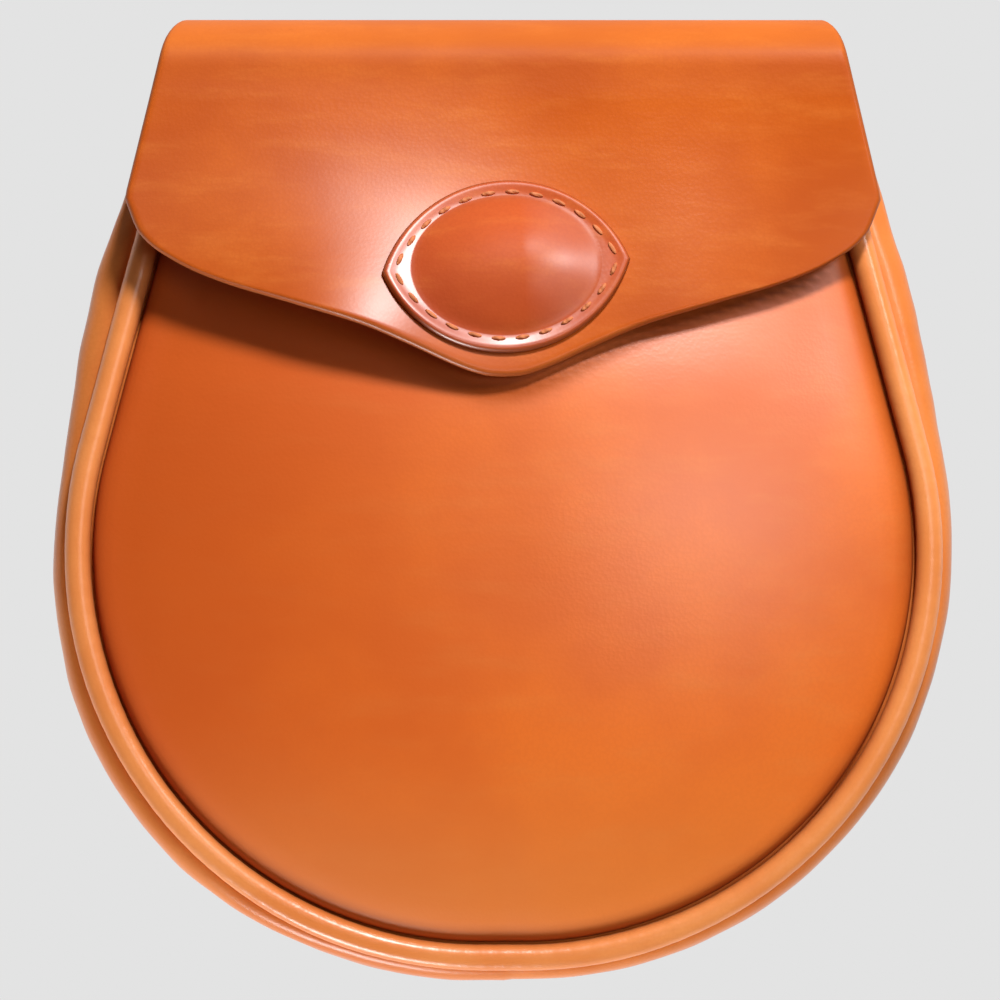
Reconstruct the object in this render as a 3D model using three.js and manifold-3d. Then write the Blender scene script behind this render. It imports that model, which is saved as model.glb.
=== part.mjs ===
import * as THREE from 'three';
import Module from 'manifold-3d';

const wasm = await Module();
wasm.setup();

// The pouch lies on its back: +Z is the front, +Y is the fold at the top, lengths are in mm.
const pouchTop = 102.6;
const bowlY = -11.6;
const bowlFlat = 9;
const seamRadius = 83;
const mouthY = 78;
const mouthHalfWidth = 66.9;

const backThickness = 2.5;
const frontThickness = 2.2;
const gussetThickness = 1.8;
const gap = 0.3;

const backRadius = 89;
const foldRadius = 11;
const foldHalfWidth = 71.3;
const flapHalfWidth = 80.2;
const flapCornerY = 63.5;
const flapDroop = 2.5;

const seamDepth = 26;
const seamDepthMouth = 15;
const crownDepth = 41;
const crownDepthMouth = 19;
const domePower = 2.2;

const weltRadius = 2.9;
const weltDrop = 0.2;

const bossX = 0.5;
const bossY = 49;
const bossHalfLength = 26;
const bossHalfHeight = 17.5;
const bossTurn = 3.5;

const studRadius = 5;
const studHeight = 1.7;

const slotLength = 32;
const slotWidth = 5;
const slotX = 33;
const slotY = 52;

// Lower edge of the flap, from its tip to the corner.
const flapEdge = [
  { x: 0, y: 25.5 },
  { x: 4, y: 25.8 },
  { x: 10, y: 27.8 },
  { x: 20, y: 32.4 },
  { x: 30, y: 36.6 },
  { x: 45, y: 41.2 },
  { x: 60, y: 45.8 },
  { x: 70, y: 50.4 },
  { x: 77, y: 56 },
  { x: 80.2, y: 63.5 },
];

// Angle at which the flap rises from the fold, from its left side to its right side.
const flapRise = [
  { across: -1, degrees: 12 },
  { across: -0.5, degrees: 21 },
  { across: 0, degrees: 18.5 },
  { across: 0.5, degrees: 14 },
  { across: 1, degrees: 4.5 },
];

// Middle line of the gusset's section: out from the seam, share of the front's depth there, lift,
// and the part of the extra bulge near the mouth that the point takes.
const gussetSection = [
  { out: -6, share: 1, lift: -2.6, bulge: 0 },
  { out: -1, share: 1, lift: -2.7, bulge: 0 },
  { out: 1.2, share: 1, lift: -4, bulge: 0 },
  { out: 3.4, share: 1, lift: -4.5, bulge: 0.2 },
  { out: 5.4, share: 1, lift: -5, bulge: 0.7 },
  { out: 6.7, share: 0.72, lift: 0, bulge: 1 },
  { out: 7.1, share: 0.5, lift: 0.6, bulge: 1 },
  { out: 6.6, share: 0.2, lift: 3.2, bulge: 0.9 },
  { out: 5, share: 0, lift: 4.7, bulge: 0.4 },
  { out: 3, share: 0, lift: 3.8, bulge: 0 },
  { out: -4, share: 0, lift: 3.7, bulge: 0 },
];
const mouthBulge = 2;

// Section of the boss from its edge to its middle: share of the outline and height on the flap.
const bossSection = [
  { reach: 0.99, rise: 0.3 },
  { reach: 1, rise: 1.4 },
  { reach: 0.96, rise: 2 },
  { reach: 0.86, rise: 2.1 },
  { reach: 0.76, rise: 3.6 },
  { reach: 0.56, rise: 6.2 },
  { reach: 0.3, rise: 7.8 },
];
const bossHeight = 8.3;

const leather = new THREE.MeshStandardMaterial({ color: 0xc8702e, roughness: 0.5, metalness: 0 });
const metal = new THREE.MeshStandardMaterial({ color: 0xb08d57, roughness: 0.35, metalness: 1 });

const radians = THREE.MathUtils.degToRad;

// Smooth curve through the rows of a table.
function curveThrough(rows, key, value) {
  const slope = (i) => {
    const before = rows[Math.max(i - 1, 0)];
    const after = rows[Math.min(i + 1, rows.length - 1)];
    return (after[value] - before[value]) / (after[key] - before[key]);
  };
  return (x) => {
    let i = rows.findIndex((row) => row[key] > x) - 1;
    i = i < 0 ? (x < rows[0][key] ? 0 : rows.length - 2) : i;
    const span = rows[i + 1][key] - rows[i][key];
    const t = THREE.MathUtils.clamp((x - rows[i][key]) / span, 0, 1);
    const start = (1 + 2 * t) * (1 - t) ** 2 * rows[i][value] + t * (1 - t) ** 2 * span * slope(i);
    const end = t * t * (3 - 2 * t) * rows[i + 1][value] - t * t * (1 - t) * span * slope(i + 1);
    return start + end;
  };
}

// Half width of a pouch outline at a height: a bowl with straight sides that lean in to the top.
function outlineHalfWidth(radius, topHalfWidth, topY) {
  const dx = topHalfWidth - bowlFlat / 2;
  const dy = topY - bowlY;
  const lean = Math.atan2(dy, dx) - Math.acos(radius / Math.hypot(dx, dy));
  const leanY = bowlY + radius * Math.sin(lean);
  const leanX = bowlFlat / 2 + radius * Math.cos(lean);
  return (y) => {
    if (y > leanY) {
      return leanX - (y - leanY) * Math.tan(lean);
    }
    return bowlFlat / 2 + Math.sqrt(Math.max(radius ** 2 - (y - bowlY) ** 2, 0));
  };
}

// Lower end of the outline under a place across the pouch.
function bowlBottom(radius, x) {
  const beyond = Math.max(Math.abs(x) - bowlFlat / 2, 0);
  return bowlY - Math.sqrt(Math.max(radius ** 2 - beyond ** 2, 0));
}

const seamHalfWidth = outlineHalfWidth(seamRadius, mouthHalfWidth, mouthY);
const foldY = pouchTop - foldRadius - backThickness / 2;
const flapSideHalfWidth = (y) => THREE.MathUtils.mapLinear(
  Math.max(y, flapCornerY), flapCornerY, pouchTop, flapHalfWidth, foldHalfWidth);
const backHalfWidth = outlineHalfWidth(backRadius, flapSideHalfWidth(foldY), foldY);

// Depth of the pouch: it thins from the bowl up to the mouth.
const thinning = (y) => (Math.max(y - bowlY, 0) / (mouthY - bowlY)) ** 2;
const seamZ = (y) => seamDepth - (seamDepth - seamDepthMouth) * thinning(y);
const crownZ = (y) => crownDepth - (crownDepth - crownDepthMouth) * thinning(y);

// Share of the way from the pouch's middle line to its seam.
function seamReach(x, y) {
  if (y >= bowlY) {
    return Math.abs(x) / seamHalfWidth(y);
  }
  const distance = Math.hypot(x, y - bowlY);
  const sine = (bowlY - y) / distance;
  const cosine = Math.abs(x) / distance;
  const side = bowlFlat / 2 * cosine + Math.sqrt(seamRadius ** 2 - (bowlFlat / 2 * sine) ** 2);
  return distance / Math.min(side, seamRadius / sine);
}

function frontZ(x, y) {
  return crownZ(y) + (seamZ(y) - crownZ(y)) * seamReach(x, y) ** domePower;
}

// Outward normal of a height surface.
function heightNormal(height, x, y) {
  const step = 0.05;
  const slopeX = (height(x + step, y) - height(x - step, y)) / (2 * step);
  const slopeY = (height(x, y + step) - height(x, y - step)) / (2 * step);
  return new THREE.Vector3(-slopeX, -slopeY, 1).normalize();
}

// Closed wall of leather on a grid of middle points and normals.
function wall(rows, thickness) {
  const columns = rows[0].length;
  const positions = [];
  for (const side of [0.5, -0.5]) {
    for (const row of rows) {
      for (const { point, normal } of row) {
        positions.push(...point.clone().addScaledVector(normal, side * thickness));
      }
    }
  }
  const inner = rows.length * columns;
  const index = [];
  const quad = (a, b, c, d) => index.push(a, b, c, a, c, d);
  for (let r = 0; r + 1 < rows.length; r += 1) {
    for (let c = 0; c + 1 < columns; c += 1) {
      const a = r * columns + c;
      quad(a, a + 1, a + 1 + columns, a + columns);
      quad(inner + a, inner + a + columns, inner + a + columns + 1, inner + a + 1);
    }
    const left = r * columns;
    const right = left + columns - 1;
    quad(left, left + columns, inner + left + columns, inner + left);
    quad(right + columns, right, inner + right, inner + right + columns);
  }
  for (let c = 0; c + 1 < columns; c += 1) {
    const last = (rows.length - 1) * columns + c;
    quad(c + 1, c, inner + c, inner + c + 1);
    quad(last, last + 1, inner + last + 1, inner + last);
  }
  const geometry = new THREE.BufferGeometry();
  geometry.setAttribute('position', new THREE.Float32BufferAttribute(positions, 3));
  geometry.setIndex(index);
  geometry.computeVertexNormals();
  return geometry;
}

// Places across a sheet, closer together towards its sides.
function placesAcross(count) {
  return Array.from({ length: count + 1 }, (_, i) => Math.sin(Math.PI * (i / count - 0.5)));
}

const riseAt = curveThrough(flapRise, 'across', 'degrees');
const flapEdgeAt = curveThrough(flapEdge, 'x', 'y');

// The flap rises straight from the fold and droops towards its tip.
function flapZ(x, y) {
  const rise = radians(riseAt(x / flapSideHalfWidth(y)));
  const droop = flapDroop * (Math.max(foldY - y, 0) / (foldY - flapEdge[0].y)) ** 3;
  const fold = backThickness / 2 + foldRadius + foldRadius / Math.cos(rise);
  return fold + (foldY - y) * Math.tan(rise) - droop;
}

function backAndFlap() {
  const backRows = 9;
  const foldRows = 9;
  const flapRows = 9;
  const across = placesAcross(28);
  const rows = [];
  for (let r = 0; r <= backRows; r += 1) {
    rows.push(across.map((u) => {
      const bottom = bowlBottom(backRadius, u * backHalfWidth(bowlY));
      const y = THREE.MathUtils.lerp(bottom, foldY, r / backRows);
      const x = u * backHalfWidth(Math.max(y, bowlY));
      return { point: new THREE.Vector3(x, y, backThickness / 2), normal: new THREE.Vector3(0, 0, -1) };
    }));
  }
  for (let r = 1; r < foldRows; r += 1) {
    rows.push(across.map((u) => {
      const turn = (Math.PI - radians(riseAt(u))) * r / foldRows;
      const y = foldY + foldRadius * Math.sin(turn);
      const z = backThickness / 2 + foldRadius * (1 - Math.cos(turn));
      const normal = new THREE.Vector3(0, Math.sin(turn), -Math.cos(turn));
      return { point: new THREE.Vector3(u * flapSideHalfWidth(y), y, z), normal };
    }));
  }
  for (let r = 0; r <= flapRows; r += 1) {
    rows.push(across.map((u) => {
      const start = foldY + foldRadius * Math.sin(radians(riseAt(u)));
      const y = THREE.MathUtils.lerp(start, flapEdgeAt(Math.abs(u) * flapHalfWidth), r / flapRows);
      const x = u * flapSideHalfWidth(y);
      return { point: new THREE.Vector3(x, y, flapZ(x, y)), normal: heightNormal(flapZ, x, y) };
    }));
  }
  return cut(wall(rows.map((row) => row.reverse()), backThickness), [-slotX, slotX].map(strapSlot));
}

// Slot through the back for the strap.
function strapSlot(x) {
  const end = slotWidth / 2;
  const straight = slotLength / 2 - end;
  const shape = new THREE.Shape();
  shape.absarc(x, slotY + straight, end, 0, Math.PI, false);
  shape.absarc(x, slotY - straight, end, Math.PI, 2 * Math.PI, false);
  const tool = new THREE.ExtrudeGeometry(
    shape, { depth: 3 * backThickness, bevelEnabled: false, curveSegments: 6 });
  return tool.translate(0, 0, -backThickness);
}

function solid(geometry) {
  const welded = new Map();
  const vertices = [];
  const order = [];
  const position = geometry.getAttribute('position');
  for (let i = 0; i < position.count; i += 1) {
    const corner = [position.getX(i), position.getY(i), position.getZ(i)];
    const key = corner.map((value) => Math.round(value * 1e4)).join(' ');
    if (!welded.has(key)) {
      welded.set(key, vertices.length / 3);
      vertices.push(...corner);
    }
    order.push(welded.get(key));
  }
  const index = geometry.index ? Array.from(geometry.index.array, (i) => order[i]) : order;
  return new wasm.Manifold(new wasm.Mesh({
    numProp: 3,
    vertProperties: new Float32Array(vertices),
    triVerts: new Uint32Array(index),
  }));
}

function cut(geometry, tools) {
  const result = tools.reduce((body, tool) => body.subtract(solid(tool)), solid(geometry));
  const mesh = result.getMesh();
  const cutGeometry = new THREE.BufferGeometry();
  cutGeometry.setAttribute('position', new THREE.BufferAttribute(mesh.vertProperties, 3));
  cutGeometry.setIndex(new THREE.BufferAttribute(mesh.triVerts, 1));
  cutGeometry.computeVertexNormals();
  return cutGeometry;
}

function frontPanel() {
  const rowCount = 14;
  const across = placesAcross(28);
  const rows = [];
  for (let r = 0; r <= rowCount; r += 1) {
    rows.push(across.map((u) => {
      const bottom = bowlBottom(seamRadius, u * seamHalfWidth(bowlY));
      const y = THREE.MathUtils.lerp(mouthY, bottom, Math.sin(Math.PI / 2 * r / rowCount));
      const inset = 1 - gap / seamRadius;
      const x = u * seamHalfWidth(Math.max(y, bowlY));
      const point = new THREE.Vector3(x * inset, (y - bowlY) * inset + bowlY, frontZ(x, y));
      return { point, normal: heightNormal(frontZ, x * 0.995, y) };
    }));
  }
  return wall(rows.map((row) => row.reverse()), frontThickness);
}

// Front seam from the left end of the mouth round the bowl to the right end, seen from the front.
function seamPath() {
  const dx = mouthHalfWidth - bowlFlat / 2;
  const dy = mouthY - bowlY;
  const lean = Math.atan2(dy, dx) - Math.acos(seamRadius / Math.hypot(dx, dy));
  const path = new THREE.Path();
  path.moveTo(-mouthHalfWidth, mouthY);
  path.lineTo(-bowlFlat / 2 - seamRadius * Math.cos(lean), bowlY + seamRadius * Math.sin(lean));
  path.absarc(-bowlFlat / 2, bowlY, seamRadius, Math.PI - lean, 1.5 * Math.PI, false);
  path.absarc(bowlFlat / 2, bowlY, seamRadius, 1.5 * Math.PI, 2 * Math.PI + lean, false);
  path.lineTo(mouthHalfWidth, mouthY);
  return path;
}

// Places along the seam with the direction that points out of the pouch.
function seamPlaces(count) {
  const path = seamPath();
  return Array.from({ length: count + 1 }, (_, i) => {
    const tangent = path.getTangentAt(i / count);
    return { at: path.getPointAt(i / count), out: new THREE.Vector2(tangent.y, -tangent.x) };
  });
}

function gusset() {
  const rows = seamPlaces(56).map(({ at, out }) => {
    const line = gussetSection.map((row) => {
      const inward = Math.min(row.out, 0);
      const depth = frontZ(at.x + out.x * inward, at.y + out.y * inward);
      return new THREE.Vector2(
        row.out + row.bulge * mouthBulge * thinning(at.y), row.share * depth + row.lift);
    });
    return line.map((spot, i) => {
      const before = line[Math.max(i - 1, 0)];
      const after = line[Math.min(i + 1, line.length - 1)];
      const along = after.clone().sub(before).normalize();
      return {
        point: new THREE.Vector3(at.x + out.x * spot.x, at.y + out.y * spot.x, spot.y),
        normal: new THREE.Vector3(out.x * -along.y, out.y * -along.y, along.x),
      };
    });
  });
  return wall(rows, gussetThickness);
}

function welt() {
  const line = seamPlaces(56).map(({ at, out }) => new THREE.Vector3(
    at.x + out.x * weltRadius, at.y + out.y * weltRadius, seamZ(at.y) - weltDrop));
  const section = new THREE.Shape();
  section.absarc(0, 0, weltRadius - gap / 2, 0, 2 * Math.PI, false);
  return new THREE.ExtrudeGeometry(section, {
    steps: 56,
    curveSegments: 5,
    bevelEnabled: false,
    extrudePath: new THREE.CatmullRomCurve3(line),
  });
}

// Radius of the boss's outline, two arcs that meet in blunt points, in a direction from its middle.
function bossRadius(angle) {
  const arc = (bossHalfLength ** 2 + bossHalfHeight ** 2) / (2 * bossHalfHeight);
  const offset = arc - bossHalfHeight;
  return Math.sqrt(arc ** 2 - (offset * Math.cos(angle)) ** 2) - offset * Math.abs(Math.sin(angle));
}

function boss() {
  const segments = 40;
  const rise = heightNormal(flapZ, bossX, bossY);
  const spot = (reach, height, angle) => {
    const turned = angle + radians(bossTurn);
    const x = bossX + reach * bossRadius(angle) * Math.cos(turned);
    const y = bossY + reach * bossRadius(angle) * Math.sin(turned);
    const seat = new THREE.Vector3(x, y, flapZ(x, y));
    seat.addScaledVector(heightNormal(flapZ, x, y), backThickness / 2);
    return seat.addScaledVector(rise, height);
  };
  const underside = [0.33, 0.66].map((reach) => ({ reach, rise: gap }));
  const rings = [...underside, ...bossSection];
  const positions = [...spot(0, gap, 0)];
  for (const ring of rings) {
    for (let s = 0; s < segments; s += 1) {
      positions.push(...spot(ring.reach, ring.rise, 2 * Math.PI * s / segments));
    }
  }
  positions.push(...spot(0, bossHeight, 0));
  const top = positions.length / 3 - 1;
  const index = [];
  for (let s = 0; s < segments; s += 1) {
    const next = (s + 1) % segments;
    index.push(0, 1 + next, 1 + s);
    for (let r = 0; r + 1 < rings.length; r += 1) {
      const a = 1 + r * segments;
      index.push(a + s, a + next, a + segments + next, a + s, a + segments + next, a + segments + s);
    }
    index.push(top - segments + s, top - segments + next, top);
  }
  const geometry = new THREE.BufferGeometry();
  geometry.setAttribute('position', new THREE.Float32BufferAttribute(positions, 3));
  geometry.setIndex(index);
  geometry.computeVertexNormals();
  return geometry;
}

// Hidden stud behind the boss, between the flap and the front.
function closureStud() {
  const lower = new THREE.Vector3(bossX, bossY, frontZ(bossX, bossY));
  const upper = new THREE.Vector3(bossX, bossY, flapZ(bossX, bossY));
  const axis = heightNormal(frontZ, bossX, bossY).add(heightNormal(flapZ, bossX, bossY)).normalize();
  const slant = axis.z;
  const floor = lower.z + frontThickness / 2 / slant;
  const ceiling = upper.z - backThickness / 2 / slant;
  const geometry = new THREE.CylinderGeometry(studRadius, studRadius, studHeight, 24);
  geometry.rotateX(Math.PI / 2);
  geometry.applyQuaternion(new THREE.Quaternion().setFromUnitVectors(new THREE.Vector3(0, 0, 1), axis));
  return geometry.translate(bossX, bossY, (floor + ceiling) / 2);
}

function piece(name, geometry, material) {
  const mesh = new THREE.Mesh(geometry, material);
  mesh.name = name;
  return mesh;
}

const pouch = new THREE.Group();
pouch.name = 'sporran_pouch';
pouch.add(piece('back_and_flap', backAndFlap(), leather));
pouch.add(piece('front_panel', frontPanel(), leather));
pouch.add(piece('gusset', gusset(), leather));
pouch.add(piece('welt', welt(), leather));
pouch.add(piece('boss', boss(), leather));
pouch.add(piece('closure_stud', closureStud(), metal));

export default pouch;
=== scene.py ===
import bpy
import math
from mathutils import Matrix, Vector, noise


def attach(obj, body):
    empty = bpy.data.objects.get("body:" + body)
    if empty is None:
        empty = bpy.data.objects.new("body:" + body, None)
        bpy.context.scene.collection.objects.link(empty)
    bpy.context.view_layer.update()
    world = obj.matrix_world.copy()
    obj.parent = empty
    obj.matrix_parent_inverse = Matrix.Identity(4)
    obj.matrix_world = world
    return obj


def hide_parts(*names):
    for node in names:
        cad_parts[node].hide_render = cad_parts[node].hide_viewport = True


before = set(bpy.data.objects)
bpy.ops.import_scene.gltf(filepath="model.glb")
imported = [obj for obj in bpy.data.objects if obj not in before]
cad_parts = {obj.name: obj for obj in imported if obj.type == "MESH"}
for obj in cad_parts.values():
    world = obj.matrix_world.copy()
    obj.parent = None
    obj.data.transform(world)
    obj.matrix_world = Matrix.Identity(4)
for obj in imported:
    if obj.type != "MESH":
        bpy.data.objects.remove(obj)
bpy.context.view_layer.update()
scene = bpy.context.scene
mm = 0.001

# camera and room

view = {"centre": (-0.75, -0.4), "height": 1300.0, "frameWidth": 214.0, "frameDepth": 16.0, "sensor": 36.0}

lightTable = [   # name, place in mm, size in mm, watts, aim in mm
    ("keyTop", (275, 1050, 890), 240, 18.0, (0, 0, 20)),
    ("softRight", (400, 90, 1000), 480, 2.0, (0, 0, 20)),
    ("lowBottom", (-310, -965, 60), 460, 13.0, (0, -60, 20)),
    ("lowRight", (740, 560, 690), 240, 2.9, (0, 0, 20)),
]
room = {"floor": 9000.0, "floorZ": -0.3, "glow": 0.768, "sky": 0.03}


def addCamera():
    bpy.ops.object.camera_add(location=[c * mm for c in (*view["centre"], view["height"])])
    camera = bpy.context.object
    camera.name = "photoCamera"
    camera.rotation_euler = (0, 0, 0)
    camera.data.sensor_width = view["sensor"]
    camera.data.lens = view["sensor"] * (view["height"] - view["frameDepth"]) / view["frameWidth"]
    camera.data.clip_start = 0.01
    scene.camera = camera


def newPaint(name):
    paint = bpy.data.materials.new(name)
    paint.use_nodes = True
    return paint, paint.node_tree, paint.node_tree.nodes["Principled BSDF"]


def addRoom():
    clearSelection()
    bpy.ops.mesh.primitive_plane_add(size=room["floor"] * mm, location=(0, 0, room["floorZ"] * mm))
    floor = bpy.context.object
    floor.name = "paleFloor"
    paint, _, shader = newPaint("paleFloor")
    shader.inputs["Base Color"].default_value = (0, 0, 0, 1)   # lit from below, so no shadow lies on it
    shader.inputs["Roughness"].default_value = 1.0
    shader.inputs["Specular IOR Level"].default_value = 0.0
    shader.inputs["Emission Color"].default_value = (room["glow"], room["glow"], room["glow"], 1)
    shader.inputs["Emission Strength"].default_value = 1.0
    floor.data.materials.append(paint)
    for name, place, size, watts, aim in lightTable:
        bpy.ops.object.light_add(type="AREA", location=[c * mm for c in place])
        lamp = bpy.context.object
        lamp.name = name
        lamp.data.shape = "DISK"
        lamp.data.size = size * mm
        lamp.data.energy = watts
        toAim = (Vector(aim) - Vector(place)).normalized()
        lamp.rotation_euler = toAim.to_track_quat("-Z", "Y").to_euler()
    world = bpy.data.worlds.new("softRoom")
    world.use_nodes = True
    world.node_tree.nodes["Background"].inputs["Color"].default_value = (1, 1, 1, 1)
    world.node_tree.nodes["Background"].inputs["Strength"].default_value = room["sky"]
    scene.world = world
    scene.view_settings.view_transform = "Standard"
    scene.view_settings.look = "None"


def clip(value):   # kept between 0 and 1
    return min(max(value, 0), 1)


def clearSelection():
    if bpy.context.object and bpy.context.object.mode != "OBJECT":
        bpy.ops.object.mode_set(mode="OBJECT")
    bpy.ops.object.select_all(action="DESELECT")


clearSelection()
addCamera()
addRoom()
print("camera and room ready")


# shader sockets as values

class Wire:
    def __init__(self, tree, socket=None):
        self.tree = tree
        self.socket = socket

    def add(self, kind, settings=None, inputs=None, out=0):
        node = self.tree.nodes.new(kind)
        for key, value in (settings or {}).items():
            setattr(node, key, value)
        for key, value in (inputs or {}).items():
            if isinstance(value, Wire):
                self.tree.links.new(value.socket, node.inputs[key])
            else:
                node.inputs[key].default_value = value
        return Wire(self.tree, node.outputs[out])

    def math(self, operation, first, second):
        return self.add("ShaderNodeMath", {"operation": operation}, {0: first, 1: second})

    def __add__(self, other):
        return self.math("ADD", self, other)

    def __radd__(self, other):
        return self.math("ADD", other, self)

    def __sub__(self, other):
        return self.math("SUBTRACT", self, other)

    def __rsub__(self, other):
        return self.math("SUBTRACT", other, self)

    def __mul__(self, other):
        return self.math("MULTIPLY", self, other)

    def __rmul__(self, other):
        return self.math("MULTIPLY", other, self)

    def between(self, low, high):   # 0 below low, 1 above high, smooth
        return self.add("ShaderNodeMapRange", {"interpolation_type": "SMOOTHSTEP"},
                        {"Value": self, "From Min": low, "From Max": high})

    def mixColour(self, first, second):   # first where self is 0, second where it is 1
        return self.add("ShaderNodeMix", {"data_type": "RGBA"}, {0: self, 6: first, 7: second}, out=2)


# leather finishes

def rgb(red, green, blue):   # screen colour to shader colour
    def line(value):
        value /= 255
        return value / 12.92 if value <= 0.04045 else ((value + 0.055) / 1.055) ** 2.4
    return (line(red), line(green), line(blue), 1)


leatherLook = {
    "base": rgb(222, 107, 32), "deep": rgb(204, 90, 26), "pale": rgb(238, 138, 58),
    # the dark brown below is painted shade, laid into grooves and shadow lines
    "cut": rgb(168, 88, 42), "paintedShadeColour": rgb(114, 46, 14),
    "suede": rgb(146, 86, 46), "suedePale": rgb(170, 110, 66),   # the flesh side, inside the pouch
    "roughness": 0.32, "grainBump": 0.08, "creaseBump": 0.07, "shine": 0.5,
    "coat": 0.12, "coatRoughness": 0.22, "coatIor": 1.5,
}
grain = {"cloud": 22.0, "smear": 190.0, "smearAcross": 0.22, "cells": 1250.0, "pores": 2600.0}   # scales
# painted light and shade on the leather: the front darker on the left, paler at the bottom, and the flap
# paler round the fold
paintedShading = {   # places in metres: from, to
    "left": (-0.085, 0.02), "bottom": (-0.094, -0.045), "fold": (0.0915, 0.0985),
    "leftShare": 0.85, "bottomShare": 0.6, "foldShare": 0.3,
}
gloss = {
    "dullFold": (0.083, 0.092), "flapTop": (0.055, 0.085),   # in metres too
    "flapTopLoss": 0.7, "flapRight": 0.3, "seamLoss": 0.7,
}


def leatherFinish(name, look, foldLight=False, paintedFrontShading=False, handWorn=False):
    paint, tree, shader = newPaint(name)
    start = Wire(tree)
    place = start.add("ShaderNodeTexCoord", out="Object")
    cloud = start.add("ShaderNodeTexNoise", None,
                      {"Vector": place, "Scale": grain["cloud"], "Detail": 4.0, "Roughness": 0.55})
    stretched = start.add("ShaderNodeMapping", None,
                          {"Vector": place, "Scale": (grain["smearAcross"], 1, 1)})
    smear = start.add("ShaderNodeTexNoise", None,
                      {"Vector": stretched, "Scale": grain["smear"], "Detail": 5.0, "Roughness": 0.6})
    cells = start.add("ShaderNodeTexVoronoi", {"feature": "F1"},
                      {"Vector": place, "Scale": grain["cells"], "Randomness": 1.0})
    pores = start.add("ShaderNodeTexNoise", None,
                      {"Vector": place, "Scale": grain["pores"], "Detail": 2.0})
    across = start.add("ShaderNodeSeparateXYZ", None, {0: place}, out="X")
    height = start.add("ShaderNodeSeparateXYZ", None, {0: place}, out="Y")
    cut, flesh, dull, seam, polish = (
        start.add("ShaderNodeAttribute", {"attribute_name": mask}, out="Fac")
        for mask in ("cutEdge", "fleshSide", "dull", "paintedShade", "polish"))

    tone = cloud.between(0.36, 0.66).mixColour(look["deep"], look["base"])
    tone = (smear.between(0.45, 0.8) * 0.25).mixColour(tone, look["pale"])
    tone = (cells.between(0.35, 0.75) * 0.18).mixColour(tone, look["deep"])
    if paintedFrontShading:   # painted shade: darker on the left, away from the light; painted light: paler towards the bottom of the bowl
        tone = ((1 - across.between(*paintedShading["left"])) * paintedShading["leftShare"]).mixColour(tone, look["left"])
        tone = ((1 - height.between(*paintedShading["bottom"])) * paintedShading["bottomShare"]).mixColour(tone, look["pale"])
    if foldLight:   # painted light: paler round the fold, which faces the light from above
        tone = (height.between(*paintedShading["fold"]) * paintedShading["foldShare"]).mixColour(tone, look["pale"])
    nap = (pores * 0.6 + smear * 0.4).between(0.3, 0.7).mixColour(look["suede"], look["suedePale"])
    tone = flesh.between(0.3, 0.7).mixColour(tone, nap)
    tone = (cut.between(0.15, 0.9) * 0.8).mixColour(tone, look["cut"])
    # painted shade: darker in the seam grooves, on the welt's inner side, round the boss's dome and in the
    # shadow line under the flap's edge
    tone = (seam * 0.7).mixColour(tone, look["paintedShadeColour"])
    tree.links.new(tone.socket, shader.inputs["Base Color"])

    rough = look["roughness"] + (cloud - 0.5) * 0.12 + (smear - 0.5) * 0.10 + cut * 0.15
    rough = rough + dull * 0.3 + flesh * 0.5
    if foldLight:
        rough = rough + height.between(*gloss["dullFold"]) * 0.3
    tree.links.new(rough.socket, shader.inputs["Roughness"])
    shader.inputs["Specular IOR Level"].default_value = look["shine"]
    shader.inputs["Coat Weight"].default_value = look["coat"]
    shine = None
    if paintedFrontShading:   # no coat gloss is left on the painted shade of the seam and of the flap's shadow line
        shine = (1 - seam).between(0.0, 1.0) * (1 - dull * gloss["seamLoss"]) * look["coat"]
    if foldLight:   # the flap is glossy low on its left, where it is lifted
        leftSide = dull.between(sheet["dullRight"], sheet["dullLeft"])
        shine = (gloss["flapRight"] + leftSide * (1 - gloss["flapRight"])) * look["coat"]
        shine = (1 - height.between(*gloss["flapTop"]) * gloss["flapTopLoss"]) * shine
    if handWorn:
        shine = polish
    if shine:
        tree.links.new(shine.socket, shader.inputs["Coat Weight"])
    shader.inputs["Coat Roughness"].default_value = look["coatRoughness"]
    shader.inputs["Coat IOR"].default_value = look["coatIor"]

    relief = cells * 0.7 + pores * 0.3
    pebbles = start.add("ShaderNodeBump", None,
                        {"Strength": look["grainBump"], "Distance": 0.4 * mm, "Height": relief})
    crease = start.add("ShaderNodeBump", None, {"Strength": look["creaseBump"], "Distance": 1.0 * mm,
                                                "Height": smear, "Normal": pebbles})
    tree.links.new(crease.socket, shader.inputs["Normal"])
    return paint


def threadFinish(name, colour):
    paint, tree, shader = newPaint(name)
    start = Wire(tree)
    place = start.add("ShaderNodeTexCoord", out="Object")
    twist = start.add("ShaderNodeTexWave", {"bands_direction": "DIAGONAL"},
                      {"Vector": place, "Scale": 420.0, "Distortion": 1.5, "Detail": 2.0})
    tone = (twist * 0.35).mixColour(colour, rgb(150, 76, 38))
    tree.links.new(tone.socket, shader.inputs["Base Color"])
    shader.inputs["Roughness"].default_value = 0.65
    bump = start.add("ShaderNodeBump", None, {"Strength": 0.5, "Distance": 0.2 * mm, "Height": twist})
    tree.links.new(bump.socket, shader.inputs["Normal"])
    return paint


def brassFinish(name):
    paint, tree, shader = newPaint(name)
    start = Wire(tree)
    place = start.add("ShaderNodeTexCoord", out="Object")
    scuff = start.add("ShaderNodeTexNoise", None, {"Vector": place, "Scale": 600.0, "Detail": 4.0})
    tone = scuff.mixColour(rgb(196, 160, 90), rgb(150, 112, 58))
    tree.links.new(tone.socket, shader.inputs["Base Color"])
    shader.inputs["Metallic"].default_value = 1.0
    rough = 0.28 + scuff * 0.25
    tree.links.new(rough.socket, shader.inputs["Roughness"])
    return paint


# the pouch's measured shape, in mm

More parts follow.
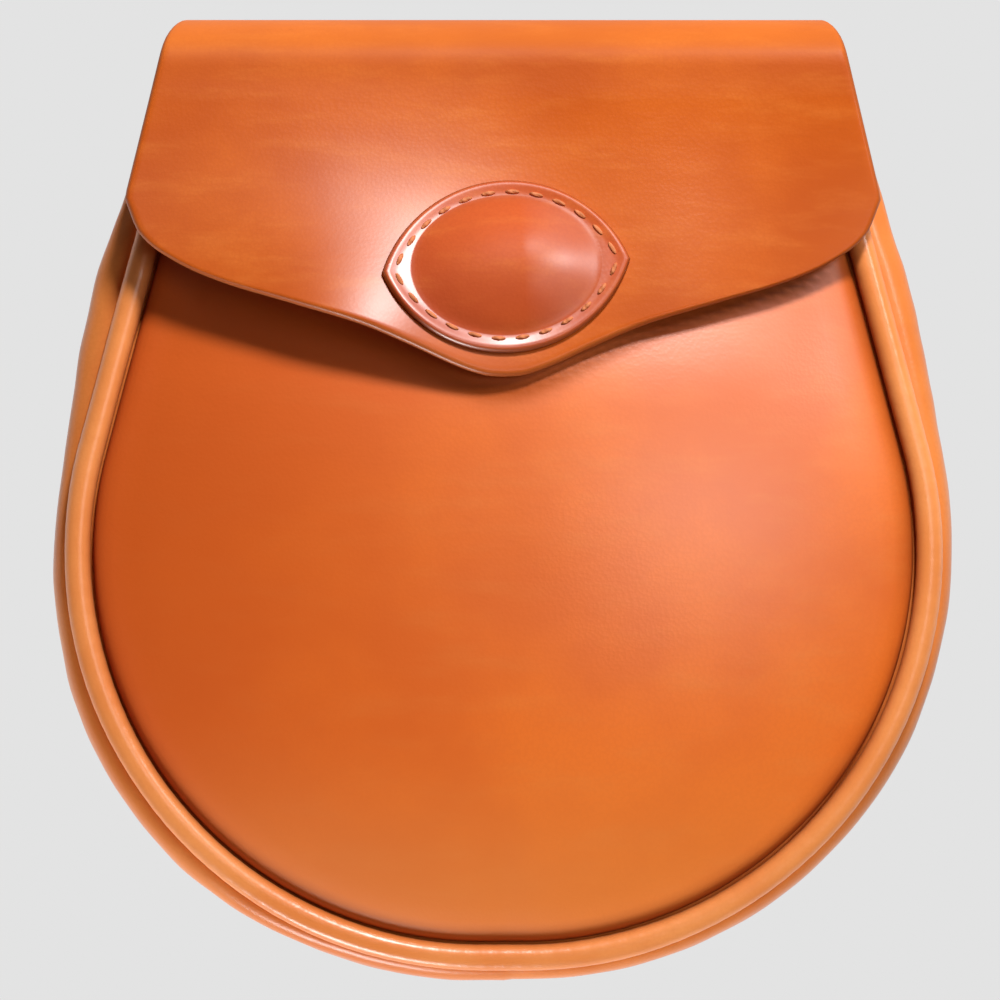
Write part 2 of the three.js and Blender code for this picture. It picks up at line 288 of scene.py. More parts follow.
body = {
    "top": 102.6, "bowlY": -11.6, "bowlFlat": 9.0, "seamRadius": 83.0,
    "mouthY": 78.0, "mouthHalf": 66.9, "seamDepth": 26.0, "seamDepthMouth": 15.0,
    "crownDepth": 41.0, "crownDepthMouth": 19.0, "domePower": 2.2, "wander": 0.35, "wanderSize": 46.0,
    "press": {"x": 42.0, "y": 43.0, "wide": 30.0, "high": 15.0, "deep": 1.3},   # by the flap's right edge
}


def curveThrough(rows):   # smooth function through (x, y) rows
    def slope(i):
        low, high = rows[max(i - 1, 0)], rows[min(i + 1, len(rows) - 1)]
        return (high[1] - low[1]) / (high[0] - low[0])

    def value(x):
        i = 0
        while i < len(rows) - 2 and rows[i + 1][0] <= x:
            i += 1
        span = rows[i + 1][0] - rows[i][0]
        t = clip((x - rows[i][0]) / span)
        return ((1 + 2 * t) * (1 - t) ** 2 * rows[i][1] + t * (1 - t) ** 2 * span * slope(i)
                + t * t * (3 - 2 * t) * rows[i + 1][1] - t * t * (1 - t) * span * slope(i + 1))
    return value


def leanAngle(radius, topHalf, topY):
    dx, dy = topHalf - body["bowlFlat"] / 2, topY - body["bowlY"]
    return math.atan2(dy, dx) - math.acos(radius / math.hypot(dx, dy))


def halfWidthOf(radius, topHalf, topY):
    lean = leanAngle(radius, topHalf, topY)
    leanX = body["bowlFlat"] / 2 + radius * math.cos(lean)
    leanY = body["bowlY"] + radius * math.sin(lean)

    def half(y):
        if y > leanY:
            return leanX - (y - leanY) * math.tan(lean)
        return body["bowlFlat"] / 2 + math.sqrt(max(radius ** 2 - (y - body["bowlY"]) ** 2, 0))
    return half


def bowlLine(radius, topHalf, topY):   # from the top left end round the bowl to the top right end
    lean = leanAngle(radius, topHalf, topY)
    points = [(-topHalf, topY)]
    steps = 90
    for i in range(steps + 1):
        angle = math.pi - lean + (math.pi / 2 + lean) * i / steps
        x = -body["bowlFlat"] / 2 + radius * math.cos(angle)
        points.append((x, body["bowlY"] + radius * math.sin(angle)))
    return points + [(-x, y) for x, y in reversed(points)]


def evenly(points, count):   # count + 1 places at equal steps along a line of points
    lengths = [0.0]
    for a, b in zip(points, points[1:]):
        lengths.append(lengths[-1] + math.dist(a, b))
    places, k = [], 0
    for i in range(count + 1):
        want = lengths[-1] * i / count
        while k < len(points) - 2 and lengths[k + 1] < want:
            k += 1
        share = (want - lengths[k]) / max(lengths[k + 1] - lengths[k], 1e-9)
        places.append(tuple(p + (q - p) * share for p, q in zip(points[k], points[k + 1])))
    return places


def outwardOf(points):   # unit normals of a line in x and y, to the right of its run
    normals = []
    for i in range(len(points)):
        a, b = points[max(i - 1, 0)], points[min(i + 1, len(points) - 1)]
        dx, dy = b[0] - a[0], b[1] - a[1]
        size = math.hypot(dx, dy)
        normals.append((dy / size, -dx / size))
    return normals


seamHalf = halfWidthOf(body["seamRadius"], body["mouthHalf"], body["mouthY"])


def thinning(y):
    return (max(y - body["bowlY"], 0) / (body["mouthY"] - body["bowlY"])) ** 2


def seamZ(y):
    return body["seamDepth"] - (body["seamDepth"] - body["seamDepthMouth"]) * thinning(y)


def crownZ(y):
    return body["crownDepth"] - (body["crownDepth"] - body["crownDepthMouth"]) * thinning(y)


def seamReach(x, y):
    if y >= body["bowlY"]:
        return abs(x) / seamHalf(y)
    away = math.hypot(x, y - body["bowlY"])
    sine, cosine = (body["bowlY"] - y) / away, abs(x) / away
    flat, radius = body["bowlFlat"] / 2, body["seamRadius"]
    return away / min(flat * cosine + math.sqrt(radius ** 2 - (flat * sine) ** 2), radius / max(sine, 1e-6))


def unevenness(x, y, size, seed):   # hand-made wander, -1 to 1
    return noise.noise(Vector((x / size, y / size, seed)))


def frontZ(x, y):
    lift = crownZ(y) + (seamZ(y) - crownZ(y)) * seamReach(x, y) ** body["domePower"]
    inner = max(1 - seamReach(x, y), 0)
    press = body["press"]
    away = ((x - press["x"]) / press["wide"]) ** 2 + ((y - press["y"]) / press["high"]) ** 2
    pressed = press["deep"] * math.exp(-away) * min(inner * 4, 1)
    return lift + body["wander"] * unevenness(x, y, body["wanderSize"], 3.1) * inner - pressed


def leatherBlank(name, columns, rows, place):   # a grid whose points are moved to their places
    clearSelection()
    bpy.ops.mesh.primitive_grid_add(x_subdivisions=columns, y_subdivisions=rows, size=1)
    blank = bpy.context.object
    blank.name = name
    blank.data.name = name
    rim = blank.vertex_groups.new(name="wallShare")
    masks = {"cutEdge": [], "paintedShade": [], "dull": [], "polish": []}
    for corner in blank.data.vertices:
        i = round((corner.co.x + 0.5) * columns)
        j = round((corner.co.y + 0.5) * rows)
        spot, found = place(i, j)
        corner.co = Vector(spot) * mm
        rim.add([corner.index], found.get("wall", 1), "REPLACE")
        for mask in masks:
            masks[mask].append(found.get(mask, 0))
    for mask, values in masks.items():
        blank.data.attributes.new(mask, "FLOAT", "POINT").data.foreach_set("value", values)
    bpy.ops.object.mode_set(mode="EDIT")
    bpy.ops.mesh.select_all(action="SELECT")
    bpy.ops.mesh.remove_doubles(threshold=0.02 * mm)
    bpy.ops.mesh.normals_make_consistent(inside=False)
    bpy.ops.object.mode_set(mode="OBJECT")
    return blank


def giveWall(piece, thickness, innerFirst=False):
    before = len(piece.data.vertices)
    wall = piece.modifiers.new("wall", "SOLIDIFY")
    wall.thickness = thickness * mm
    wall.offset = 0
    wall.vertex_group = "wallShare"
    wall.use_quality_normals = True
    bpy.context.view_layer.objects.active = piece
    bpy.ops.object.modifier_apply(modifier="wall")
    first = 1.0 if innerFirst else 0.0   # which of the two skins is the inner one
    inner = [first] * before + [1 - first] * (len(piece.data.vertices) - before)
    piece.data.attributes.new("fleshSide", "FLOAT", "POINT").data.foreach_set("value", inner)
    bpy.ops.object.shade_smooth()


def roundedShare(inset, radius):   # share of the wall that is left this far from a cut edge
    away = 1 - min(inset / radius, 1.0)
    return max(math.sqrt(max(1 - away * away, 0)), 0.10)


def finishPiece(piece, paint, node):
    piece.data.materials.clear()
    piece.data.materials.append(paint)
    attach(piece, "root")
    if node:
        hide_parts(node)


# back and flap, cut from one sheet and bent round the fold

sheet = {
    "wall": 2.5, "backRadius": 89.0, "foldRadius": 11.0, "foldHalf": 71.3, "flapHalf": 80.2,
    "cornerY": 63.5, "foldCorner": 3.0, "foldCornerFrom": 95.5, "foldCornerHigh": 5.9,
    "droop": 2.5, "startShare": 0.6, "hump": {"x": -30.0, "y": 30.0, "size": 25.0, "high": 3.7},
    "wander": 0.45, "wanderSize": 34.0, "dullLeft": 0.1, "dullRight": -0.24,
    "around": 440, "middleRings": 26, "edgeRound": 1.15, "edgeDark": 1.3, "foldSteps": 24, "sideSteps": 19,
    "edgeRings": [0, 0.12, 0.34, 0.7, 1.15, 2.0, 3.6],
    "flapMiddleY": 50.0,
    "edge": [(0, 25.5), (4, 25.8), (10, 27.8), (20, 32.4), (30, 36.6), (45, 41.2), (60, 45.8),
             (70, 50.4), (77, 56), (80.2, 63.5)],
    "rise": [(-80, 17), (-40, 21), (0, 17), (40, 15.8), (80, 7)],   # x, degrees
    "slot": {"x": 33.0, "y": 52.0, "long": 32.0, "wide": 5.0},
}

# the flap's colours are a darker copy of the front's, painted shade to offset the stronger light on the flap
flapLook = dict(leatherLook, base=rgb(208, 97, 25), deep=rgb(192, 83, 21), shine=0.08, coat=0.62,
                coatRoughness=0.33, roughness=0.30)
foldY = body["top"] - sheet["foldRadius"] - sheet["wall"] / 2
riseAt = curveThrough(sheet["rise"])
flapEdgeAt = curveThrough(sheet["edge"])


def flapSideHalf(y):
    share = (max(y, sheet["cornerY"]) - sheet["cornerY"]) / (body["top"] - sheet["cornerY"])
    nearTop = clip((y - sheet["foldCornerFrom"]) / sheet["foldCornerHigh"])   # corners worn round
    worn = sheet["foldCorner"] * (1 - math.sqrt(1 - nearTop ** 2))
    return sheet["flapHalf"] + (sheet["foldHalf"] - sheet["flapHalf"]) * share - worn


def flapZ(x, y):
    rise, start = math.radians(riseAt(x)), math.radians(riseAt(x) * sheet["startShare"])
    away, length = max(foldY - y, 0), foldY - sheet["edge"][0][1]
    share = away / length
    fold = sheet["wall"] / 2 + sheet["foldRadius"] * (1 + 1 / math.cos(start))
    climb = (math.tan(rise) - math.tan(start)) * length * share ** 1.5   # low off the fold, then lifting
    hump = sheet["hump"]
    lift = hump["high"] * math.exp(-((x - hump["x"]) ** 2 + (y - hump["y"]) ** 2) / hump["size"] ** 2)
    wander = sheet["wander"] * unevenness(x, y, sheet["wanderSize"], 8.4) * min(away / 30, 1)
    return fold + (foldY - y) * math.tan(start) + climb - sheet["droop"] * share ** 3 + lift + wander


def sheetLength(x, y):   # place along the sheet of a point on the flap
    rise = math.radians(riseAt(x) * sheet["startShare"])
    start = foldY + sheet["foldRadius"] * math.sin(rise)
    return foldY + sheet["foldRadius"] * (math.pi - rise) + (start - y) / math.cos(rise)


def bendSheet(x, s):
    radius, rise = sheet["foldRadius"], math.radians(riseAt(x) * sheet["startShare"])
    turn = (s - foldY) / radius
    if turn <= 0:
        return (x, s, sheet["wall"] / 2)
    if turn < math.pi - rise:
        return (x, foldY + radius * math.sin(turn), sheet["wall"] / 2 + radius * (1 - math.cos(turn)))
    y = foldY + radius * math.sin(rise) - (turn - math.pi + rise) * radius * math.cos(rise)
    return (x, y, flapZ(x, y))


def flapSide(sign):   # one side of the sheet, round the fold and down to the flap's corner
    points = []
    for i in range(1, sheet["foldSteps"]):
        turn = math.pi * i / sheet["foldSteps"]
        y = foldY + sheet["foldRadius"] * math.sin(turn)
        points.append((sign * flapSideHalf(y), foldY + sheet["foldRadius"] * turn))
    for i in range(1, sheet["sideSteps"] + 1):
        y = foldY + (sheet["cornerY"] - foldY) * i / sheet["sideSteps"]
        x = sign * flapSideHalf(y)
        points.append((x, sheetLength(x, y)))
    return points


def sheetOutline():
    points = bowlLine(sheet["backRadius"], flapSideHalf(foldY), foldY)
    lower, steps = [], 400
    for i in range(1, steps):
        x = sheet["flapHalf"] * math.cos(math.pi * i / steps)
        lower.append((x, sheetLength(x, flapEdgeAt(abs(x)))))
    half = len(lower) // 2   # the line starts and ends at the flap's tip
    return lower[half:] + flapSide(-1)[::-1] + points + flapSide(1) + lower[:half + 1]


def makeBackAndFlap():
    line = evenly(sheetOutline(), sheet["around"])
    low, high = body["bowlY"], sheetLength(0, sheet["flapMiddleY"])
    edgeRings, middle = sheet["edgeRings"], sheet["middleRings"]

    def place(i, j):
        x, s = line[i % sheet["around"]]
        middleS = (s + line[-1 - i % sheet["around"]][1]) / 2   # both sides meet on the middle line
        towards = Vector((0, min(max(middleS, low), high))) - Vector((x, s))
        inset = edgeRings[min(j, len(edgeRings) - 1)]
        share = inset / towards.length
        if j >= len(edgeRings):
            share += (1 - share) * (j - len(edgeRings) + 1) / middle
        spot = Vector((x, s)) + towards * share
        cut = 1 - min(inset / sheet["edgeDark"], 1) if j < len(edgeRings) else 0
        toRight = clip((spot.x + 18) / 36)   # handled more on the right
        dull = sheet["dullLeft"] + (sheet["dullRight"] - sheet["dullLeft"]) * toRight
        masks = {"wall": roundedShare(inset, sheet["edgeRound"]), "cutEdge": cut, "dull": dull}
        return bendSheet(spot.x, spot.y), masks

    piece = leatherBlank("leatherBackAndFlap", sheet["around"], len(edgeRings) - 1 + middle, place)
    giveWall(piece, sheet["wall"])
    cutSlots(piece)
    return piece


def cutSlots(piece):
    slot = sheet["slot"]
    for side in (-1, 1):
        clearSelection()
        middle = (side * slot["x"] * mm, slot["y"] * mm, sheet["wall"] / 2 * mm)
        bpy.ops.mesh.primitive_cube_add(size=1, location=middle)
        cutter = bpy.context.object
        cutter.scale = (slot["wide"] * mm, slot["long"] * mm, sheet["wall"] * 3 * mm)
        bpy.ops.object.transform_apply(location=True, rotation=False, scale=True)
        bpy.ops.object.mode_set(mode="EDIT")
        bpy.ops.mesh.select_mode(type="EDGE")
        bpy.ops.mesh.select_all(action="DESELECT")
        bpy.ops.object.mode_set(mode="OBJECT")
        for edge in cutter.data.edges:   # the four upright edges
            a, b = (cutter.data.vertices[k].co for k in edge.vertices)
            edge.select = abs(a.z - b.z) > 0.001
        bpy.ops.object.mode_set(mode="EDIT")
        bpy.ops.mesh.bevel(offset=slot["wide"] * 0.49 * mm, segments=6, affect="EDGES")
        bpy.ops.object.mode_set(mode="OBJECT")
        cutting = piece.modifiers.new("slot", "BOOLEAN")
        cutting.operation = "DIFFERENCE"
        cutting.solver = "EXACT"
        cutting.object = cutter
        clearSelection()
        bpy.context.view_layer.objects.active = piece
        piece.select_set(True)
        bpy.ops.object.modifier_apply(modifier="slot")
        bpy.data.objects.remove(cutter)


backAndFlap = makeBackAndFlap()
flapLeather = leatherFinish("flapLeather", flapLook, foldLight=True)
finishPiece(backAndFlap, flapLeather, "back_and_flap")
print("back and flap ready", len(backAndFlap.data.polygons))

# domed front with its edge rolled into the seam

front = {
    "wall": 2.2, "around": 400, "middleRings": 30, "mouthSag": 4.0, "mouthSteps": 60, "middleY": 52.0,
    "roll": [   # inset, drop
        (1.35, 3.6), (1.40, 2.7), (1.58, 1.8), (1.95, 1.05), (2.6, 0.5), (3.6, 0.18), (5.2, 0.0)],
    "leftPull": 0.62, "cutDark": 1.2, "cutRound": 1.0, "seamDark": 1.6, "dullFrom": 3.0, "dullOver": 7.0,
    "rightSeam": {"dark": 1.2, "wide": 3.2, "from": 50.0, "low": -50.0, "fade": 40.0},
    # painted shadow under the flap's edge on the front
    "flapShade": {"strength": 0.87, "more": 0.38, "wide": 3.0, "less": 1.3, "side": 60.0,
            "ends": 72.0, "fade": 8.0},
}
# the front's left colour is painted shade for its left side
frontLook = dict(leatherLook, base=rgb(245, 118, 30), deep=rgb(231, 105, 27), left=rgb(215, 89, 22),
                 shine=0.32, coat=1.0, coatRoughness=0.38, coatIor=1.55)


def flapShadow(x, y):   # painted shadow: the dark line just under the flap's edge
    flapShade = front["flapShade"]
    side = min(max(x / flapShade["side"], -1), 1)   # narrower and darker to the right
    wide = flapShade["wide"] - flapShade["less"] * side
    below = flapEdgeAt(min(abs(x), sheet["flapHalf"])) - y
    fade = clip((flapShade["ends"] - abs(x)) / flapShade["fade"])
    return (flapShade["strength"] + flapShade["more"] * side) * fade * math.exp(-((below - wide) / wide) ** 2)


def makeFront():
    seamLine = bowlLine(body["seamRadius"], body["mouthHalf"], body["mouthY"])
    mouth = []
    for i in range(1, front["mouthSteps"]):
        x = body["mouthHalf"] * math.cos(math.pi * i / front["mouthSteps"])
        mouth.append((x, body["mouthY"] - front["mouthSag"] * (1 - (x / body["mouthHalf"]) ** 2)))
    half = len(mouth) // 2   # the line starts and ends in the middle of the mouth
    whole = mouth[half:] + seamLine + mouth[:half + 1]
    line = evenly(whole, front["around"])
    low, high = body["bowlY"], front["middleY"]
    roll, right = front["roll"], front["rightSeam"]

    def place(i, j):
        x, y = line[i % front["around"]]
        onSeam = abs(x) >= seamHalf(y) - 0.4 or y < 0
        middleY = (y + line[-1 - i % front["around"]][1]) / 2
        towards = Vector((0, min(max(middleY, low), high))) - Vector((x, y))
        inset, drop = roll[min(j, len(roll) - 1)]
        pulled = front["leftPull"] + (1 - front["leftPull"]) * clip(x / 80 + 0.4)   # deeper on the right
        drop *= pulled
        if not onSeam:
            inset, drop = inset - roll[0][0], 0
        share = inset / towards.length
        if j >= len(roll):
            share += (1 - share) * (j - len(roll) + 1) / front["middleRings"]
        spot = Vector((x, y)) + towards * share
        toSeam = math.dist((x, y), spot) if onSeam else 20
        # painted shade: darker down in the rolled seam, and beside it on the right where the welt shades the
        # front
        inSeam = min(drop / front["seamDark"], 1.0) * pulled if onSeam and j < len(roll) else 0
        onRight = clip(x / right["from"]) * clip((y - right["low"]) / right["fade"])
        besideSeam = right["dark"] * onRight * math.exp(-(toSeam / right["wide"]) ** 2)
        masks = {
            "wall": 1.0 if onSeam else roundedShare(inset, front["cutRound"]),
            "cutEdge": 1 - min(inset / front["cutDark"], 1) if not onSeam and j < len(roll) else 0,
            # painted shade: the seam groove, the fringe beside it on the right and the shadow line under the
            # flap's edge
            "paintedShade": max(inSeam, besideSeam, flapShadow(spot.x, spot.y)),
            "dull": 1 - clip((toSeam - front["dullFrom"]) / front["dullOver"]),
        }
        return (spot.x, spot.y, frontZ(spot.x, spot.y) - drop), masks

    piece = leatherBlank("leatherFront", front["around"], len(roll) - 1 + front["middleRings"], place)
    giveWall(piece, front["wall"], innerFirst=True)
    return piece


frontPiece = makeFront()
frontLeather = leatherFinish("frontLeather", frontLook, paintedFrontShading=True)
finishPiece(frontPiece, frontLeather, "front_panel")
print("front ready", len(frontPiece.data.polygons))

# gusset strip round the sides and the bottom

gusset = {
    "wall": 1.8, "along": 260, "across": 44, "mouthBulge": 2.0,
    "fullLeft": [(-104, 0), (-92, 0.7), (-82, 1.7), (-68, 2.1), (-40, 1.7), (-24, 0.8), (0, 0.6),   # y, mm
                 (12, 1.2), (26, 2.4), (38, 3.0), (48, 2.8), (60, 1.4), (78, 0)],
    "fullRight": [(-104, 0), (-82, 0.6), (-65, 0.7), (-30, 0.4), (0, 0.5), (12, 1.2), (26, 2.2), (42, 2.2),
                  (60, 1.2), (78, 0)],
    "bellyLow": 4.0, "bellyHigh": 18.0, "wander": 0.5, "ripple": 0.25, "endRound": 0.9, "endDark": 1.5,
    "section": [   # out, share of the front's depth, lift, share of the mouth's bulge
        (-6, 1, -2.6, 0), (-1, 1, -2.7, 0), (1.2, 1, -3.9, 0), (3.2, 1, -4.1, 0.1), (4.9, 1, -3.9, 0.5),
        (6.4, 1, -5.4, 0.85), (7.1, 0.66, 0, 1), (7.2, 0.45, 0.6, 1), (6.6, 0.2, 3.2, 0.9), (5, 0, 4.7, 0.4),
        (3, 0, 3.8, 0), (-4, 0, 3.7, 0)],
}
gussetLook = dict(leatherLook, base=rgb(236, 138, 68), deep=rgb(222, 120, 54), shine=0.25)
fullLeft = curveThrough(gusset["fullLeft"])   # the bag has settled more to its left
fullRight = curveThrough(gusset["fullRight"])


def throughPoints(points, share):   # place on a smooth line through 2-D points
    spans = len(points) - 1
    k = min(int(share * spans), spans - 1)
    t = share * spans - k
    p0, p1 = points[max(k - 1, 0)], points[k]
    p2, p3 = points[k + 1], points[min(k + 2, spans)]
    return [0.5 * (2 * b + (c - a) * t + (2 * a - 5 * b + 4 * c - d) * t * t
                   + (3 * b - a - 3 * c + d) * t ** 3) for a, b, c, d in zip(p0, p1, p2, p3)]


def makeGusset():
    line = evenly(bowlLine(body["seamRadius"], body["mouthHalf"], body["mouthY"]), gusset["along"])
    outs = outwardOf(line)

    def place(i, j):
        (x, y), (ox, oy) = line[i], outs[i]
        section = []
        for out, share, lift, bulge in gusset["section"]:
            inward = min(out, 0)
            depth = frontZ(x + ox * inward, y + oy * inward)
            fuller = gusset["mouthBulge"] * thinning(y) + (fullLeft(y) if x < 0 else fullRight(y))
            section.append((out + bulge * fuller, share * depth + lift))
        out, z = throughPoints(section, j / gusset["across"])
        belly = math.sin(math.pi * clip((z - gusset["bellyLow"]) / gusset["bellyHigh"]))
        out += belly * (gusset["wander"] * unevenness(i * 0.31, z * 0.4, 4.0, 5.2)
                        + gusset["ripple"] * unevenness(i * 0.9, z * 0.25, 4.0, 1.7))
        toEnd = min(i, gusset["along"] - i) * 1.7   # mm along the seam
        cut = 1 - min(toEnd / gusset["endDark"], 1)
        masks = {"wall": roundedShare(toEnd, gusset["endRound"]), "cutEdge": cut}
        return (x + ox * out, y + oy * out, z), masks

    piece = leatherBlank("leatherGusset", gusset["along"], gusset["across"], place)
    giveWall(piece, gusset["wall"])
    return piece


gussetPiece = makeGusset()
finishPiece(gussetPiece, leatherFinish("gussetLeather", gussetLook), "gusset")
print("gusset ready", len(gussetPiece.data.polygons))

# rolled welt in the front seam

welt = {"radius": 2.8, "out": 2.95, "drop": 0.2, "along": 520, "around": 20, "pitch": 4.0, "pucker": 0.02,
        "wander": 0.05, "wanderSize": 22.0, "seamDark": 0.8}
weltLook = dict(leatherLook, base=rgb(250, 155, 86), deep=rgb(240, 138, 70))


def makeWelt():
    line = evenly(bowlLine(body["seamRadius"], body["mouthHalf"], body["mouthY"]), welt["along"])
    outs = outwardOf(line)
    step = math.dist(line[0], line[1])

    def place(i, j):
        k = min(max(i - 1, 0), welt["along"])   # the first and last rows close the ends
        (x, y), (ox, oy) = line[k], outs[k]
        run = i * step
        radius = welt["radius"] * (1 + welt["wander"] * unevenness(run, 0, welt["wanderSize"], 2.2))
        radius += welt["pucker"] * math.cos(2 * math.pi * run / welt["pitch"])
        if i == 0 or i == welt["along"] + 2:
            radius = 0
        angle = 2 * math.pi * j / welt["around"]
        out = welt["out"] + radius * math.cos(angle)
        z = seamZ(y) - welt["drop"] + radius * math.sin(angle)
        # painted shade on the welt's inner side, down against the front
        inner = max(math.cos(angle - math.pi), 0) ** 3
        return (x + ox * out, y + oy * out, z), {"paintedShade": inner * welt["seamDark"]}

    piece = leatherBlank("leatherWelt", welt["along"] + 2, welt["around"], place)
    bpy.ops.object.shade_smooth()
    return piece


weltPiece = makeWelt()
finishPiece(weltPiece, leatherFinish("weltLeather", weltLook), "welt")
print("welt ready", len(weltPiece.data.polygons))

# padded boss on the flap

boss = {
    "x": 0.5, "y": 48.6, "halfLong": 26.2, "halfHigh": 18.3, "turn": 3.5,
    "domeLong": 20.0, "domeHigh": 14.8, "flange": 1.9, "dish": 0.3, "dome": 5.7, "around": 120,
    "domePower": 1.25, "flangeFoot": 0.4, "flangeRound": 0.9, "dishFrom": 0.7, "dishOver": 2.4,
    "under": [0.0, 0.35, 0.7, 0.96], "underGap": 0.25, "domeRows": 18,
    "flangeShares": [0, 0.03, 0.08, 0.16, 0.28, 0.42, 0.56, 0.68, 0.78, 0.86, 0.93],   # outline to dome
}
bossLook = dict(leatherLook, base=rgb(202, 86, 32), deep=rgb(186, 72, 26), cut=rgb(128, 62, 26), shine=0.24,
                coatRoughness=0.36, coatIor=1.8, roughness=0.44)


def lensRadius(angle, halfLong, halfHigh):
    arc = (halfLong ** 2 + halfHigh ** 2) / (2 * halfHigh)
    offset = arc - halfHigh
    return math.sqrt(arc ** 2 - (offset * math.cos(angle)) ** 2) - offset * abs(math.sin(angle))


def flapTop(x, y, height):   # point above the flap's upper face, square to it at the boss
    step = 0.5
    cx, cy = boss["x"], boss["y"]
    tiltX = (flapZ(cx + step, cy) - flapZ(cx - step, cy)) / (2 * step)
    tiltY = (flapZ(cx, cy + step) - flapZ(cx, cy - step)) / (2 * step)
    square = Vector((-tiltX, -tiltY, 1)).normalized()
    seat = Vector((x, y, flapZ(x, y) + sheet["wall"] / 2 / square.z))
    return seat + square * height


def ovalRadius(angle, halfLong, halfHigh):
    return halfLong * halfHigh / math.hypot(halfHigh * math.cos(angle), halfLong * math.sin(angle))


def bossPoint(angle, reach, height):
    turned = angle + math.radians(boss["turn"])
    return flapTop(boss["x"] + reach * math.cos(turned), boss["y"] + reach * math.sin(turned), height)


def flangeHeight(inset):   # raised at the outline, then sloping in
    foot = boss["flangeFoot"]
    edge = foot + (boss["flange"] - foot) * roundedShare(inset, boss["flangeRound"])
    slope = clip((inset - boss["dishFrom"]) / boss["dishOver"])
    return edge - boss["dish"] * slope * slope * (3 - 2 * slope)


def makeBoss():
    under, flange = len(boss["under"]), len(boss["flangeShares"])

    def place(i, j):
        angle = 2 * math.pi * i / boss["around"]
        outline = lensRadius(angle, boss["halfLong"], boss["halfHigh"])
        foot = ovalRadius(angle, boss["domeLong"], boss["domeHigh"])
        if j < under:
            return bossPoint(angle, outline * boss["under"][j], boss["underGap"]), {}
        if j < under + flange:
            share = boss["flangeShares"][j - under]
            inset = (outline - foot) * share
            lit = 0.45 - 0.35 * math.cos(angle - math.pi / 4)   # polished most at the lower left
            # painted shade darkens the flange towards the groove at the dome's foot
            masks = {"cutEdge": 1 - min(inset / boss["flangeRound"], 1), "paintedShade": 0.2 * share ** 6,
                     "dull": -0.2, "polish": lit}
            return bossPoint(angle, outline - inset, flangeHeight(inset)), masks
        share = 1 - (j - under - flange) / boss["domeRows"]
        height = boss["flange"] - boss["dish"] + boss["dome"] * (1 - share ** 2) ** boss["domePower"]
        nearFoot = max(share - 0.7, 0) / 0.3
        handled = clip((foot * share * math.cos(angle) - 3) / 9)   # polished by the hand on the right
        # painted shade darkens the dome's foot in the groove
        masks = {"paintedShade": 0.2 * nearFoot ** 3, "dull": 0.45 - 0.45 * handled - 0.2 * nearFoot ** 2,
                 "polish": handled * (1 - nearFoot ** 4)}
        return bossPoint(angle, foot * share, height), masks

    piece = leatherBlank("paddedBoss", boss["around"], under + flange + boss["domeRows"], place)
    bpy.ops.object.shade_smooth()
    return piece


bossPiece = makeBoss()
finishPiece(bossPiece, leatherFinish("bossLeather", bossLook, handWorn=True), "boss")
print("boss ready", len(bossPiece.data.polygons))

# stitches

stitch = {
    "pitch": 5.0, "long": 3.1, "wide": 1.0, "flat": 0.85, "bossHalf": (23.5, 15.6), "bossLift": 0.1,
    "backInset": 5.5, "backSide": 7.0, "backTop": 84.0, "backZ": 0.35, "colour": rgb(222, 128, 74),
}


def stitchRow(name, points, pitch):
    length = sum(math.dist(a, b) for a, b in zip(points, points[1:]))
    count = round(length / pitch)
    clearSelection()
    bpy.ops.mesh.primitive_uv_sphere_add(segments=10, ring_count=8, radius=0.5)
    one = bpy.context.object
    one.name = name
    bpy.ops.object.mode_set(mode="EDIT")
    bpy.ops.mesh.select_all(action="SELECT")
    thick = stitch["wide"] * stitch["flat"]
    bpy.ops.transform.resize(value=(stitch["long"] * mm, stitch["wide"] * mm, thick * mm))
    bpy.ops.transform.translate(value=(length / count / 2 * mm, 0, 0))
    bpy.ops.object.mode_set(mode="OBJECT")
    path = bpy.data.curves.new(name + "Path", "CURVE")
    path.dimensions = "3D"
    spline = path.splines.new("POLY")
    spline.points.add(len(points) - 1)
    for point, spot in zip(spline.points, points):
        point.co = (*(c * mm for c in spot), 1)
    guide = bpy.data.objects.new(name + "Path", path)
    scene.collection.objects.link(guide)
    row = one.modifiers.new("row", "ARRAY")
    row.count = count
    row.use_relative_offset = False
    row.use_constant_offset = True
    row.constant_offset_displace = (length / count * mm, 0, 0)
    follow = one.modifiers.new("follow", "CURVE")
    follow.object = guide
    bpy.context.view_layer.update()
    bpy.context.view_layer.objects.active = one
    bpy.ops.object.modifier_apply(modifier="row")
    bpy.ops.object.modifier_apply(modifier="follow")
    bpy.ops.object.shade_smooth()
    bpy.data.objects.remove(guide)
    return one


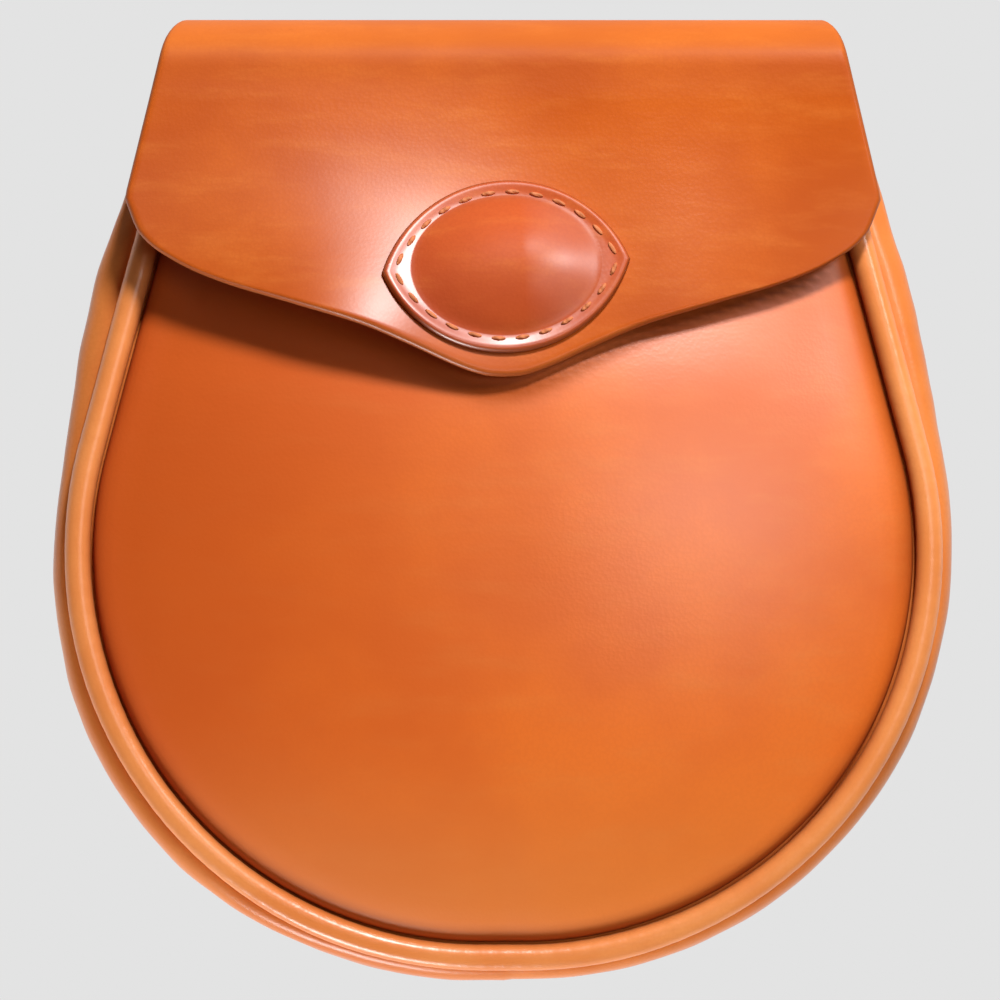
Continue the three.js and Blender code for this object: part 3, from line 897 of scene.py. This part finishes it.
def bossStitchLine():
    points, steps = [], 240
    for i in range(steps + 1):
        angle = 2 * math.pi * i / steps
        outline = lensRadius(angle, boss["halfLong"], boss["halfHigh"])
        reach = lensRadius(angle, *stitch["bossHalf"])
        points.append(tuple(bossPoint(angle, reach, flangeHeight(outline - reach) + stitch["bossLift"])))
    return points


def backStitchLine():
    radius, topHalf = sheet["backRadius"] - stitch["backInset"], flapSideHalf(foldY) - stitch["backSide"]
    line = bowlLine(radius, topHalf, stitch["backTop"])
    return [(x, y, stitch["backZ"]) for x, y in evenly(line, 300)]


waxedThread = threadFinish("waxedThread", stitch["colour"])
bossStitches = stitchRow("bossStitches", bossStitchLine(), stitch["pitch"])
finishPiece(bossStitches, waxedThread, None)
backStitches = stitchRow("backStitches", backStitchLine(), stitch["pitch"])
finishPiece(backStitches, waxedThread, None)
print("stitches ready")

# hidden snap stud between the front and the flap, behind the boss
stud = {"x": 0.5, "y": 49.0, "radius": 5.0, "gapShare": 0.8, "rim": 0.2}


def makeStud():
    x, y = stud["x"], stud["y"]
    lean = math.atan((flapZ(x, y - 1) - flapZ(x, y + 1)) / 2)
    low = frontZ(x, y) + front["wall"] / 2 / math.cos(lean)
    high = flapZ(x, y) - sheet["wall"] / 2 / math.cos(lean)
    print("room for the stud", round(high - low, 2))
    clearSelection()
    thick = (high - low) * math.cos(lean) * stud["gapShare"]
    bpy.ops.mesh.primitive_cylinder_add(vertices=48, radius=stud["radius"] * mm, depth=thick * mm)
    piece = bpy.context.object
    piece.name = "snapStud"
    rims = piece.modifiers.new("rims", "BEVEL")
    rims.width = stud["rim"] * mm
    rims.segments = 3
    bpy.ops.object.modifier_apply(modifier="rims")
    bpy.ops.object.shade_smooth_by_angle()
    piece.rotation_euler = (-lean, 0, 0)
    piece.location = (x * mm, y * mm, (low + high) / 2 * mm)
    bpy.ops.object.transform_apply(location=True, rotation=True, scale=True)
    return piece


studPiece = makeStud()
finishPiece(studPiece, brassFinish("satinBrass"), "closure_stud")
print("stud ready")
